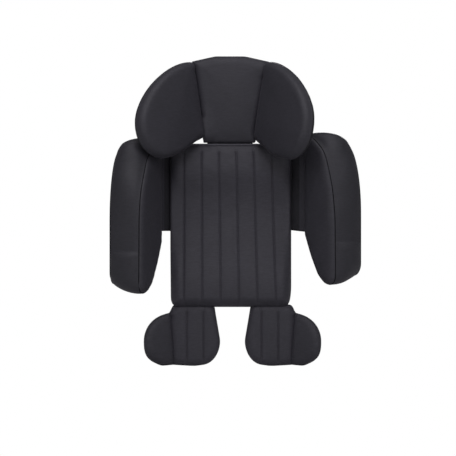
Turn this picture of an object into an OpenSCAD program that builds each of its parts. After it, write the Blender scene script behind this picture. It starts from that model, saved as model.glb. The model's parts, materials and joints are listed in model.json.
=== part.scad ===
// Padded liner for a child's booster or car seat, drawn upright with its front towards -Y.
// A quilted back pad carries a sliding head pillow with two wings, two wedge-shaped side bolsters
// on fabric flaps, and a seat pad that ends in two leg lobes with folding outer wings.
// The origin is the middle of the flat rear face. Depth is measured forward from that face.

/* [Back and seat pads] */
// Width of the back and seat pads
pad_w = 238; // [228:1:240]
// Height of the back pad
back_h = 200; // [196:1:204]
// Height of the seat pad, from its fold to the leg crease
seat_h = 116; // [108:1:122]
// Thickness of the back and seat pads
pad_t = 30; // [26:1:32]
// Radius of the back pad's top corners
back_corner_r = 18; // [10:1:30]

/* [Head pillow] */
// Distance between the two pillow seams at the top
pillow_top_w = 154; // [146:1:158]
// Distance between the two pillow seams at the bottom
pillow_neck_w = 108; // [102:1:112]
// Height of the pillow's seams
pillow_seam_h = 152; // [146:1:156]
// Rise of the crescent gusset above the seam ends
pillow_crown = 12; // [8:1:16]
// Width of each wing before it is folded forward
wing_w = 157.5; // [152:0.5:160]
// Thickness of the pillow in front of its seams
pillow_front_t = 22; // [18:1:24]
// Thickness of the pillow behind its seams
pillow_rear_t = 12; // [10:1:13]
// Forward fold of the left wing
wing_fold_left = 40; // [40:1:44]
// Forward fold of the right wing
wing_fold_right = 52; // [48:1:54]

/* [Side bolsters] */
// Height of a bolster
bolster_h = 298; // [290:1:300]
// Width of a bolster's inner panel, from its flap to its far edge
bolster_w = 90; // [84:1:92]
// Thickness of a bolster at its far edge
bolster_t = 75; // [70:1:78]
// Thickness of a bolster where its flap is sewn on
bolster_near_t = 14; // [10:1:16]
// Length of the fabric flap between the back pad and a bolster
flap_len = 42; // [40:1:44]
// Height of the flap
flap_h = 166; // [150:1:168]
// Fold of the left bolster at rest
bolster_fold_left = 65; // [60:1:65]
// Fold of the right bolster at rest
bolster_fold_right = 45; // [40:1:55]
// Height that the right bolster sits above the mean, and the left one hangs below it
bolster_lift = 8; // [0:1:8]

/* [Legs] */
// Height of a leg lobe
leg_h = 117; // [110:1:122]
// Thickness of the leg lobes
leg_t = 26; // [22:1:28]
// Width of the crotch strap gap at its top
gap_top_w = 73; // [66:1:80]
// Width of the crotch strap gap at its narrowest
gap_neck_w = 50; // [44:1:56]
// Width of a leg's folding outer wing before it is folded
leg_wing_w = 57; // [50:1:60]
// Forward fold of the outer wings at rest
leg_wing_fold = 28; // [20:1:36]
// Distance that the two legs hang to the right of the centre line
leg_shift = 5; // [0:1:6]

/* [Fabric and fasteners] */
// Thickness of the cover fabric with its backing
fabric_t = 1.6; // [1.2:0.1:2]
// Clearance between a cover and the foam inside it
foam_gap = 0.4; // [0.2:0.1:0.6]
// Thickness of the layers pressed together at a seam
seam_t = 3; // [2.6:0.1:3.2]
// Gap between two pads that fold against each other
fold_gap = 4; // [3.6:0.1:5]
// Radius of the piping on the back pad's top edge
piping_r = 1.8; // [1.2:0.1:2]
// Width of the tongue that holds the pillow
tongue_w = 92; // [84:1:100]
// Length of tongue below the pillow
tongue_len = 136; // [120:1:150]

/* [Hidden] */

fabric_colour = "#38373c";
shade_colour = "#2c2b30";
foam_colour = "#d8d4c4";
nylon_colour = "#1d1d20";

LEFT = -1;
RIGHT = 1;
reach = 500;             // half of a cutting block, larger than the whole object
sliver = 0.1;            // thickness of the outlines that a hull joins
split = 0.4;             // clearance between two cover pieces at their seam

// Depths of the layers, forward from the rear face
pocket_t = 2;            // thickness of the rear pocket panel
pocket_depth = 6;        // depth of the pocket with its panel
patch_t = 0.8;           // thickness of a hook or loop patch
tongue_t = 1.4;
tongue_d = 2.6;
tongue_bend = 30;        // height over which the tongue bends forward to the pillow
tongue_sewn = 33;        // height of its part sewn to the pillow
tongue_gap = 0.1;        // clearance between that part and the pillow's rear
back_d = pocket_depth + 0.4;
pad_seam_d = back_d + pad_t / 2;
pillow_seam_d = 30;

// Heights, from the middle of the rear face
back_top = back_h / 2 + 2;
fold_z = back_top - back_h - fold_gap / 2;
seat_top = fold_z - fold_gap / 2;
crease_z = seat_top - seat_h - fold_gap / 2;
leg_top = crease_z - fold_gap / 2;
leg_bottom = leg_top - leg_h;
pillow_low = back_top + 5;
seam_low = back_top + 14;
seam_high = seam_low + pillow_seam_h;
tongue_bottom = pillow_low - tongue_len;

// Points on an ellipse of radii r about c, from angle a0 to a1 in n steps
function arc(c, r, a0, a1, n) =
    [for (i = [0:n]) let (a = a0 + (a1 - a0) * i / n) [c[0] + r[0] * cos(a), c[1] + r[1] * sin(a)]];

// The same on a superellipse: power 2 is round, less is flatter and more is squarer
function super_arc(c, r, power, a0, a1, n) =
    [for (i = [0:n]) let (a = a0 + (a1 - a0) * i / n, x = cos(a), z = sin(a))
        [c[0] + r[0] * sign(x) * pow(abs(x), 2 / power), c[1] + r[1] * sign(z) * pow(abs(z), 2 / power)]];

// ---- outlines, in the x-z plane ----

back_outline = concat(
    arc([pad_w / 2 - back_corner_r, back_top - back_corner_r], [back_corner_r, back_corner_r], 0, 90, 5),
    arc([back_corner_r - pad_w / 2, back_top - back_corner_r], [back_corner_r, back_corner_r], 90, 180, 5),
    [[-pad_w / 2, back_top - back_h], [pad_w / 2, back_top - back_h]]);

seat_corner_r = 8;
seat_half_w = pad_w / 2 - 1;
seat_low = seat_top - seat_h;
seat_outline = concat(
    [[pad_w / 2, seat_top], [-pad_w / 2, seat_top]],
    arc([seat_corner_r - seat_half_w, seat_low + seat_corner_r], [seat_corner_r, seat_corner_r], 180, 270, 4),
    arc([seat_half_w - seat_corner_r, seat_low + seat_corner_r],
        [seat_corner_r, seat_corner_r], 270, 360, 4));

// Half distance between the pillow seams at height z
function seam_x(z) =
    pillow_neck_w / 2 + (pillow_top_w - pillow_neck_w) / 2 * (z - seam_low) / pillow_seam_h;

crown_half = pillow_top_w / 2 - 2;
crown_r = (crown_half * crown_half + pillow_crown * pillow_crown) / (2 * pillow_crown);
crown_a = asin(crown_half / crown_r);
pillow_top = seam_high + pillow_crown - 2;
pillow_outline = concat(
    [[-seam_x(pillow_low) + fold_gap / 2, pillow_low], [seam_x(pillow_low) - fold_gap / 2, pillow_low]],
    arc([0, pillow_top - crown_r], [crown_r, crown_r], 90 - crown_a, 90 + crown_a, 8));

// Right wing, drawn flat: a sloping shoulder, a rounded lobe and a notch beside the neck
wing_lobe_r = [60, 58];
wing_mid_x = (pillow_top_w + pillow_neck_w) / 4;
wing_mid_z = seam_low + 20;
wing_far = wing_mid_x + wing_w - 3;
wing_top_x = seam_x(seam_high) + fold_gap / 2;
wing_outline = concat(
    [[seam_x(seam_low + 4) + fold_gap / 2 + 2, seam_low + 4], [wing_mid_x + 18, seam_low - 12],
        [wing_mid_x + 46, seam_low - 24], [wing_mid_x + 72, seam_low - 35]],
    arc([wing_far - wing_lobe_r[0], wing_mid_z - 2], wing_lobe_r, -90, 0, 7),
    super_arc([wing_top_x, wing_mid_z], [wing_far - wing_top_x, seam_high - wing_mid_z], 1.6, 6, 90, 12));

// Right bolster, drawn flat: u runs outwards from the hinge, the top is round, the foot is drawn in
u_near = flap_len;
u_far = flap_len + bolster_w;
bolster_top = 114;
bolster_bottom = bolster_top - bolster_h;
foot_r = 16;
bolster_face = concat(
    [[u_near, bolster_bottom + 100], [u_near + 19, bolster_bottom + 57], [u_near + 40, bolster_bottom + 20],
        [u_near + 59, bolster_bottom + 4]],
    arc([u_far + 2 - foot_r, bolster_bottom + foot_r], [foot_r, foot_r], -90, 0, 5),
    arc([u_near + 6, 0], [bolster_w - 6, bolster_top], 0, 90, 12),
    [[u_near, bolster_top - 8]]);
rear_w = 40;             // width of the thick far part of a bolster
rear_top = 96;
bolster_rear = concat(
    [[u_far - rear_w, bolster_bottom + 34], [u_far - 22, bolster_bottom + 16],
        [u_far - 8, bolster_bottom + 20], [u_far, bolster_bottom + 34]],
    arc([u_far - rear_w, -40], [rear_w, rear_top + 40], 0, 90, 9));
flap_outline = [[1, bolster_top - 10 - flap_h], [u_near - 0.6, bolster_top - 10 - flap_h],
    [u_near - 0.6, bolster_top - 10], [1, bolster_top - 10]];

// Right leg: a quilted middle beside the crotch gap, and a half-round outer wing
leg_seam_high = [127, leg_top - 14];
leg_seam_low = [120, leg_bottom + 5];
leg_round = [37, 49];
leg_outline = concat(
    [[gap_top_w / 2, leg_top]],
    arc([gap_neck_w / 2 + leg_round[0], leg_bottom + leg_round[1]], leg_round, 180, 270, 8),
    [[leg_seam_low[0] - fold_gap / 2 - 6, leg_bottom + 2], [leg_seam_low[0] - fold_gap / 2, leg_bottom + 8],
        [leg_seam_high[0] - fold_gap / 2, leg_top - 14], [pad_w / 2, leg_top]]);
leg_wing_mid = [(leg_seam_low[0] + leg_seam_high[0]) / 2 + fold_gap / 2, leg_bottom + 49];
leg_wing_outline = concat(
    [[leg_seam_low[0] + fold_gap / 2, leg_bottom + 3]],
    super_arc(leg_wing_mid, [leg_wing_w, leg_wing_mid[1] - leg_bottom - 2], 3, -86, 0, 8),
    arc(leg_wing_mid, [leg_wing_w, leg_seam_high[1] - leg_wing_mid[1]], 10, 86, 8));

// Each pad: outline, depth of its seam, thickness before the seam, thickness behind it, bevel
BACK = [back_outline, pad_seam_d, pad_t / 2, pad_t / 2, 15];
SEAT = [seat_outline, pad_seam_d, pad_t / 2, pad_t / 2, 15];
PILLOW = [pillow_outline, pillow_seam_d, pillow_front_t, pillow_rear_t, 20];
WING = [wing_outline, pillow_seam_d, pillow_front_t, pillow_rear_t, 22];
LEG = [leg_outline, pad_seam_d, leg_t / 2, leg_t / 2, 13];
LEG_WING = [leg_wing_outline, pad_seam_d, leg_t / 2, leg_t / 2, 13];

// ---- placing ----

// Draw a right-hand piece on its own side
module on_side(side) {
    mirror([side == LEFT ? 1 : 0, 0, 0])
        children();
}

// Turn a piece about a line through point, along axis
module about(point, axis, angle) {
    translate(point)
        rotate(a = angle, v = axis)
            translate(-point)
                children();
}

module place_wing(side) {
    low = [seam_x(seam_low), -pillow_seam_d, seam_low];
    high = [seam_x(seam_high), -pillow_seam_d, seam_high];
    on_side(side)
        about(low, low - high, side == LEFT ? wing_fold_left : wing_fold_right)
            children();
}

hinge_x = pad_w / 2 + 1;
hinge_d = 12;
module place_bolster(side) {
    on_side(side)
        translate([hinge_x, -hinge_d, side * bolster_lift])
            rotate([0, 0, side == LEFT ? -bolster_fold_left : -bolster_fold_right])
                children();
}

module place_leg(side) {
    translate([leg_shift, 0, 0])
        on_side(side)
            children();
}

module place_leg_wing(side) {
    low = [leg_seam_low[0], -pad_seam_d, leg_seam_low[1]];
    high = [leg_seam_high[0], -pad_seam_d, leg_seam_high[1]];
    place_leg(side)
        about(low, low - high, leg_wing_fold)
            children();
}

// ---- general pad pieces ----

// One layer of an outline, shrunk by inset, from depth d0 forward to depth d1
module layer(pts, inset, d0, d1) {
    translate([0, -d0, 0])
        rotate([90, 0, 0])
            linear_extrude(height = d1 - d0)
                offset(delta = -inset)
                    polygon(pts);
}

// A block that keeps what lies between depths d0 and d1
module depth_block(d0, d1) {
    translate([-reach, -d1, -reach])
        cube([2 * reach, d1 - d0, 2 * reach]);
}

// Closed pad: its full outline at the seam, and smaller faces in front and behind
module pad(spec, inset) {
    seam = spec[1];
    edge = max(seam_t / 2 - inset, sliver);
    hull() {
        layer(spec[0], inset, seam - edge, seam + edge);
        layer(spec[0], inset + spec[4], seam + spec[2] - inset - sliver, seam + spec[2] - inset);
        layer(spec[0], inset + spec[4], seam - spec[3] + inset, seam - spec[3] + inset + sliver);
    }
}

module foam(spec) {
    color(foam_colour)
        pad(spec, fabric_t + foam_gap);
}

module cover(spec, d0, d1) {
    color(fabric_colour)
        intersection() {
            difference() {
                pad(spec, 0);
                pad(spec, fabric_t);
            }
            depth_block(d0, d1);
        }
}

module front_cover(spec) {
    cover(spec, spec[1] + split / 2, spec[1] + spec[2] + 1);
}

module rear_cover(spec) {
    cover(spec, spec[1] - spec[3] - 1, spec[1] - split / 2);
}

// ---- back pad ----

module back_foam() {
    foam(BACK);
}

module back_front_cover() {
    front_cover(BACK);
}

module back_rear_cover() {
    rear_cover(BACK);
}

// Piping along the top edge, ending where the corners turn down
module back_top_piping() {
    len = pad_w - 2 * back_corner_r;
    color(shade_colour)
        translate([-len / 2, -pad_seam_d, back_top + piping_r + 0.3])
            rotate([0, 90, 0])
                cylinder(h = len, r = piping_r, $fn = 24);
}

// Rear panel sewn down at both sides and the bottom, so that it holds the pillow's tongue
pocket_w = pad_w - 34;
pocket_top = back_top - 16;
pocket_bottom = -pocket_top;
module rear_pocket_panel() {
    channel_w = tongue_w + 8;
    color(shade_colour)
        difference() {
            translate([-pocket_w / 2, -pocket_depth, pocket_bottom])
                cube([pocket_w, pocket_depth, pocket_top - pocket_bottom]);
            translate([-channel_w / 2, -pocket_depth - 1, pocket_bottom + 26])
                cube([channel_w, pocket_depth + 1 - pocket_t, pocket_top - pocket_bottom]);
        }
}

patch_w = 50;
patch_h = 60;
module back_hook_patch() {
    color(nylon_colour)
        translate([-patch_w / 2, -back_d + 0.1, -40])
            cube([patch_w, patch_t, patch_h]);
}

// ---- seat pad ----

module seat_foam() {
    foam(SEAT);
}

module seat_front_cover() {
    front_cover(SEAT);
}

module seat_rear_cover() {
    rear_cover(SEAT);
}

// ---- head pillow ----

gusset_z = seam_high - 4;

// Keep what lies below the crescent gusset, or above it
module below_gusset() {
    intersection() {
        children();
        translate([-reach, -reach, gusset_z - split / 2 - 2 * reach])
            cube(2 * reach);
    }
}

module pillow_foam() {
    foam(PILLOW);
}

module pillow_front_cover() {
    color(fabric_colour)
        below_gusset()
            front_cover(PILLOW);
}

module pillow_rear_cover() {
    color(fabric_colour)
        below_gusset()
            rear_cover(PILLOW);
}

module pillow_top_gusset() {
    color(shade_colour)
        intersection() {
            difference() {
                pad(PILLOW, 0);
                pad(PILLOW, fabric_t);
            }
            translate([-reach, -reach, gusset_z + split / 2])
                cube(2 * reach);
        }
}

// Tongue sewn flat to the pillow's rear, bent back below it to slide in the rear pocket
module pillow_tongue() {
    bend_low = pillow_low + 3;
    bend_high = bend_low + tongue_bend;
    tongue_top = bend_high + tongue_sewn;
    slid_y = -tongue_d - tongue_t;
    sewn_y = pillow_rear_t - pillow_seam_d + tongue_gap;
    front_side = [[slid_y, tongue_bottom], [slid_y, bend_low], [sewn_y, bend_high], [sewn_y, tongue_top]];
    rear_side = [for (i = [3:-1:0]) front_side[i] + [tongue_t, 0]];
    color(nylon_colour)
        translate([-tongue_w / 2, 0, 0])
            rotate([90, 0, 90])
                linear_extrude(tongue_w)
                    polygon(concat(front_side, rear_side));
}

module tongue_loop_patch() {
    color(nylon_colour)
        translate([-patch_w / 2, -tongue_d - tongue_t - 0.2 - patch_t, tongue_bottom + 4])
            cube([patch_w, patch_t, patch_h]);
}

module wing_foam(side) {
    place_wing(side)
        foam(WING);
}

module wing_front_cover(side) {
    place_wing(side)
        front_cover(WING);
}

module wing_rear_cover(side) {
    place_wing(side)
        rear_cover(WING);
}

// ---- side bolsters ----

face_d = 6;
panel_t = 5;
outer_slope = atan2(bolster_t - bolster_near_t, bolster_w - rear_w);

// Wedge: a full inner face, a thin edge at the flap and a narrow thick part at the far side
module bolster_wedge(inset) {
    hull() {
        layer(bolster_face, inset + 6, face_d - inset - sliver, face_d - inset);
        layer(bolster_face, inset, face_d - bolster_near_t + inset, face_d - panel_t);
        layer(bolster_rear, inset, face_d - bolster_t + inset, face_d - bolster_t + inset + sliver);
    }
}

module bolster_shell() {
    difference() {
        bolster_wedge(0);
        bolster_wedge(fabric_t);
    }
}

// A block behind the sloping plane of the outer panel, shifted forward by depth
module outer_block(depth) {
    translate([u_near, bolster_near_t - face_d, 0])
        rotate([0, 0, outer_slope])
            translate([-reach, -depth, -reach])
                cube(2 * reach);
}

module bolster_foam(side) {
    color(foam_colour)
        place_bolster(side)
            bolster_wedge(fabric_t + foam_gap);
}

module bolster_inner_panel(side) {
    color(fabric_colour)
        place_bolster(side)
            intersection() {
                bolster_shell();
                depth_block(face_d - panel_t + split, face_d + 1);
            }
}

module bolster_gusset(side) {
    color(fabric_colour)
        place_bolster(side)
            difference() {
                intersection() {
                    bolster_shell();
                    depth_block(face_d - bolster_t - 1, face_d - panel_t);
                }
                outer_block(panel_t + split);
            }
}

module bolster_outer_panel(side) {
    color(shade_colour)
        place_bolster(side)
            intersection() {
                bolster_shell();
                depth_block(face_d - bolster_t - 1, face_d - panel_t);
                outer_block(panel_t);
            }
}

module bolster_flap(side) {
    color(shade_colour)
        place_bolster(side)
            layer(flap_outline, 0, -fabric_t / 2, fabric_t / 2);
}

// ---- legs ----

module leg_foam(side) {
    place_leg(side)
        foam(LEG);
}

module leg_front_cover(side) {
    place_leg(side)
        front_cover(LEG);
}

module leg_rear_cover(side) {
    place_leg(side)
        rear_cover(LEG);
}

module leg_wing_foam(side) {
    place_leg_wing(side)
        foam(LEG_WING);
}

module leg_wing_front_cover(side) {
    place_leg_wing(side)
        front_cover(LEG_WING);
}

module leg_wing_rear_cover(side) {
    place_leg_wing(side)
        rear_cover(LEG_WING);
}

back_foam();
back_front_cover();
back_rear_cover();
back_top_piping();
rear_pocket_panel();
back_hook_patch();
seat_foam();
seat_front_cover();
seat_rear_cover();
pillow_foam();
pillow_front_cover();
pillow_rear_cover();
pillow_top_gusset();
pillow_tongue();
tongue_loop_patch();
wing_foam(LEFT);  // wing_foam_left
wing_front_cover(LEFT);  // wing_front_cover_left
wing_rear_cover(LEFT);  // wing_rear_cover_left
wing_foam(RIGHT);  // wing_foam_right
wing_front_cover(RIGHT);  // wing_front_cover_right
wing_rear_cover(RIGHT);  // wing_rear_cover_right
bolster_foam(LEFT);  // bolster_foam_left
bolster_inner_panel(LEFT);  // bolster_inner_panel_left
bolster_gusset(LEFT);  // bolster_gusset_left
bolster_outer_panel(LEFT);  // bolster_outer_panel_left
bolster_flap(LEFT);  // bolster_flap_left
bolster_foam(RIGHT);  // bolster_foam_right
bolster_inner_panel(RIGHT);  // bolster_inner_panel_right
bolster_gusset(RIGHT);  // bolster_gusset_right
bolster_outer_panel(RIGHT);  // bolster_outer_panel_right
bolster_flap(RIGHT);  // bolster_flap_right
leg_foam(LEFT);  // leg_foam_left
leg_front_cover(LEFT);  // leg_front_cover_left
leg_rear_cover(LEFT);  // leg_rear_cover_left
leg_foam(RIGHT);  // leg_foam_right
leg_front_cover(RIGHT);  // leg_front_cover_right
leg_rear_cover(RIGHT);  // leg_rear_cover_right
leg_wing_foam(LEFT);  // leg_wing_foam_left
leg_wing_front_cover(LEFT);  // leg_wing_front_cover_left
leg_wing_rear_cover(LEFT);  // leg_wing_rear_cover_left
leg_wing_foam(RIGHT);  // leg_wing_foam_right
leg_wing_front_cover(RIGHT);  // leg_wing_front_cover_right
leg_wing_rear_cover(RIGHT);  // leg_wing_rear_cover_right
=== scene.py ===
"""Looks for the padded booster seat liner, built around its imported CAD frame.

Every cushion takes its outline, thickness and place from the CAD solids that it stands for.
"""
import json
import math

import bmesh
import bpy
import numpy as np
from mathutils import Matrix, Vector, geometry


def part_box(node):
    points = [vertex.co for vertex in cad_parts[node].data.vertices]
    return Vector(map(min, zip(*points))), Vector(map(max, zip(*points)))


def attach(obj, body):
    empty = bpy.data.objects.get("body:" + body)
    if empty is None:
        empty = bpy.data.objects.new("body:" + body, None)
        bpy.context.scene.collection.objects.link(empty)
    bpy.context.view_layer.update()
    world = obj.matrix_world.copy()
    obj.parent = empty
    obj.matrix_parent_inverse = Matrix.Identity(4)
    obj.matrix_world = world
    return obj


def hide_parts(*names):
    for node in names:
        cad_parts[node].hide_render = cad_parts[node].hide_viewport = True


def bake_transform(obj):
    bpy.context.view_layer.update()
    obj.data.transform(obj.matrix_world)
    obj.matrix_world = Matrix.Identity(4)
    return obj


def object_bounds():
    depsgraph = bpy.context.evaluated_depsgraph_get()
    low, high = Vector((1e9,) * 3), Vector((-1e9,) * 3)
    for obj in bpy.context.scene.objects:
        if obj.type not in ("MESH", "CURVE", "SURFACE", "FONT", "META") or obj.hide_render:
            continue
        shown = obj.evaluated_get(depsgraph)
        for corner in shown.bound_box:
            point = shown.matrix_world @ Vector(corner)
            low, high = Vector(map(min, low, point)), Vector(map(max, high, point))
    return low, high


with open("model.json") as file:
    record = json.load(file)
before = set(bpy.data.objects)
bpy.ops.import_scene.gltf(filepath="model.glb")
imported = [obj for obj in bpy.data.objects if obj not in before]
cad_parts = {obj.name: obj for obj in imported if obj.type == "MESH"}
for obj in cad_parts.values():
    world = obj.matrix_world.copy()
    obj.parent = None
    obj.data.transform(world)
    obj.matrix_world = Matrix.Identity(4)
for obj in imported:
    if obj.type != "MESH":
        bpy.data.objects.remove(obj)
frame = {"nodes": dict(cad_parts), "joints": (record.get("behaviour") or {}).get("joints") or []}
CAD_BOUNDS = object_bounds()
MM = 0.001
SIDES = {"left": -1, "right": 1}
JOINTS = {j["name"]: j for j in frame["joints"]}


# ---------------------------------------------------------------- reading the frame

def node_points(*names):
    """Every vertex of the named CAD nodes, as an array."""
    return np.array([v.co for n in names for v in frame["nodes"][n].data.vertices])


def facing(node):
    """Normal of a cover's largest flat side, pointing forward, towards -Y."""
    totals = {}
    for face in frame["nodes"][node].data.polygons:
        key = tuple(round(c, 2) for c in face.normal)
        totals[key] = totals.get(key, 0) + face.area
    normal = np.array(Vector(max(totals, key=totals.get)).normalized())
    return normal if normal[1] < 0 else -normal


def joint_point(name):
    return np.array(JOINTS[name]["pos_m"], float)


class Plane:
    """A pad's own flat frame: u across it, v up it and n out of its front."""

    def __init__(self, origin, normal, up=(0, 0, 1)):
        self.origin = np.array(origin, float)
        self.n = np.array(normal, float)
        u = np.cross(up, self.n)
        self.u = u / np.linalg.norm(u)
        self.v = np.cross(self.n, self.u)

    def local(self, points):
        p = np.asarray(points) - self.origin
        return np.stack([p @ self.u, p @ self.v, p @ self.n], axis=1)

    def world(self, local):
        return (self.origin + local[:, :1] * self.u + local[:, 1:2] * self.v
                + local[:, 2:3] * self.n)


# ---------------------------------------------------------------- outlines

def convex_hull(points):
    """Counter-clockwise hull of 2-D points."""
    pts = sorted(set(map(tuple, np.round(points, 6))))

    def half(run):
        out = []
        for p in run:
            while len(out) > 1:
                (ax, ay), (bx, by) = out[-2], out[-1]
                if (bx - ax) * (p[1] - ay) - (by - ay) * (p[0] - ax) > 0:
                    break
                out.pop()
            out.append(p)
        return out[:-1]

    return np.array(half(pts) + half(pts[::-1]))


def resample(loop, step):
    """The closed loop as evenly spaced points."""
    ring = np.vstack([loop, loop[:1]])
    s = np.concatenate([[0], np.cumsum(np.linalg.norm(np.diff(ring, axis=0), axis=1))])
    at = np.linspace(0, s[-1], max(12, int(s[-1] / step)), endpoint=False)
    return np.stack([np.interp(at, s, ring[:, k]) for k in range(ring.shape[1])], axis=1)


def soft_outline(points, rounds, corners=(), step=2.5 * MM):
    """Smooth outline round the points: facets vanish and corners become round, except those listed."""
    loop = resample(convex_hull(np.vstack([points, corners]) if len(corners) else points), step)
    kept = np.array([np.linalg.norm(loop - c, axis=1).argmin() for c in corners], int)
    for _ in range(rounds):
        if len(corners):
            loop[kept] = corners
        loop = 0.5 * loop + 0.25 * (np.roll(loop, 1, 0) + np.roll(loop, -1, 0))
    if len(corners):
        loop[kept] = corners
        return loop
    return resample(loop, step)


def edge_distance(points, loop):
    """Distance of each point from the loop, negative outside, and how far round the loop it lies."""
    a, b = loop, np.roll(loop, -1, 0)
    d = b - a
    length = np.linalg.norm(d, axis=1)
    start = np.concatenate([[0], np.cumsum(length)[:-1]])
    rel = points[:, None, :] - a[None]
    t = np.clip((rel * d).sum(-1) / (length ** 2), 0, 1)
    gap = np.linalg.norm(rel - t[..., None] * d, axis=-1)
    k = gap.argmin(1)
    rows = np.arange(len(points))
    cross = d[k, 0] * rel[rows, k, 1] - d[k, 1] * rel[rows, k, 0]
    along = start[k] + t[rows, k] * length[k]
    return np.where(cross >= -1e-9, 1, -1) * gap[rows, k], along


class Sheet:
    """A triangulated outline, with rings of points near its edge and along its channels."""

    def __init__(self, loop, spacing, lines=(), rings=(0.8, 2, 4, 7, 11)):
        self.loop = loop
        low, high = loop.min(0), loop.max(0)
        tangent = np.roll(loop, -1, 0) - np.roll(loop, 1, 0)
        tangent /= np.linalg.norm(tangent, axis=1)[:, None]
        inward = np.stack([-tangent[:, 1], tangent[:, 0]], axis=1)
        inner = [loop + inward * r * MM for r in rings]
        depth = rings[-1] * MM
        for r, ring in zip(rings, inner):
            keep, _ = edge_distance(ring, loop)
            ring[keep < 0.9 * r * MM] = np.nan
        us = np.arange(low[0], high[0], spacing)
        vs = np.arange(low[1], high[1], spacing)
        grid = np.stack(np.meshgrid(us, vs), -1).reshape(-1, 2)
        for line in lines:
            gap = np.abs(grid[:, 0] - np.interp(grid[:, 1], line[:, 1], line[:, 0]))
            grid = grid[gap > 4.2 * MM]
        extra = [line + [off * MM, 0] for line in lines for off in (-3.6, -2, -0.9, 0, 0.9, 2, 3.6)]
        body = np.vstack([grid] + extra)
        far, _ = edge_distance(body, loop)
        body = body[far > depth + 0.35 * spacing]
        inner = np.vstack(inner)
        inner = inner[~np.isnan(inner[:, 0])]
        coords = [Vector(p) for p in np.vstack([loop, inner, body])]
        count = len(loop)
        verts, _, tris, origins, _, _ = geometry.delaunay_2d_cdt(
            coords, [], [list(range(count))], 1, 1e-6)
        self.points = np.array([tuple(v) for v in verts])
        self.tris = [t for t in tris]
        where = {o: i for i, group in enumerate(origins) for o in group if o < count}
        self.ring = [where[i] for i in range(count)]
        self.gap, self.along = edge_distance(self.points, loop)
        self.gap = np.maximum(self.gap, 0)


# ---------------------------------------------------------------- surface shaping

def shoulder(gap, width, power=2.0):
    """Rises from 0 at an edge to 1 at width away, as a rounded shoulder does."""
    t = 1 - np.clip(gap / width, 0, 1)
    return (1 - t ** power) ** (1 / power)


def smooth(t):
    """Eases from 0 to 1 as t does."""
    t = np.clip(t, 0, 1)
    return t * t * (3 - 2 * t)


def even_out(values, reach):
    """Evens out values round a closed loop, over reach points each way."""
    kernel = np.hanning(2 * reach + 3)[1:-1]
    ring = np.concatenate([values[-reach:], values, values[:reach]])
    return np.convolve(ring, kernel / kernel.sum(), "valid")


def ripple(u, v, size, seed, waves=7):
    """Smooth random unevenness between about -1 and 1."""
    rng = np.random.default_rng(seed)
    total = np.zeros_like(u)
    for _ in range(waves):
        angle = rng.uniform(0, math.pi)
        k = 2 * math.pi / (size * rng.uniform(0.7, 1.5))
        total += np.sin(k * (u * math.cos(angle) + v * math.sin(angle)) + rng.uniform(0, 2 * math.pi))
    return total / waves * 1.6


def pucker(sheet_gap, along, size, reach, seed):
    """Small gathers where fabric is pulled into a seam."""
    rng = np.random.default_rng(seed)
    wave = np.zeros_like(along)
    for _ in range(4):
        k = 2 * math.pi / (size * rng.uniform(0.75, 1.5))
        wave += np.sin(k * along + rng.uniform(0, 2 * math.pi))
    return wave / 4 * np.exp(-sheet_gap / reach) * np.clip(sheet_gap / (0.25 * reach), 0, 1)


# ---------------------------------------------------------------- meshes

def new_object(name, verts, faces, materials, slots=None, uvs=None):
    """A smooth-shaded mesh object, its faces turned outwards. uvs holds (u, v) in metres for each vertex
    of each face."""
    mesh = bpy.data.meshes.new(name)
    mesh.from_pydata([tuple(p) for p in verts], [], faces)
    for m in materials:
        mesh.materials.append(m)
    if slots is not None:
        mesh.polygons.foreach_set("material_index", np.array(slots, np.int32))
    if uvs is not None:
        layer = mesh.uv_layers.new(name="weave")
        layer.data.foreach_set("uv", np.array(uvs, np.float32).ravel())
    mesh.polygons.foreach_set("use_smooth", np.ones(len(faces), bool))
    mesh.update()
    solid = bmesh.new()
    solid.from_mesh(mesh)
    if solid.calc_volume(signed=True) < 0:
        mesh.flip_normals()
    solid.free()
    obj = bpy.data.objects.new(name, mesh)
    bpy.context.scene.collection.objects.link(obj)
    return obj


def round_bulge(height):
    """A band's outward bulge: nothing at its two edges and height in the middle."""
    return lambda t, ring, out: np.full(len(ring), height * math.sin(math.pi * t))


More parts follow.
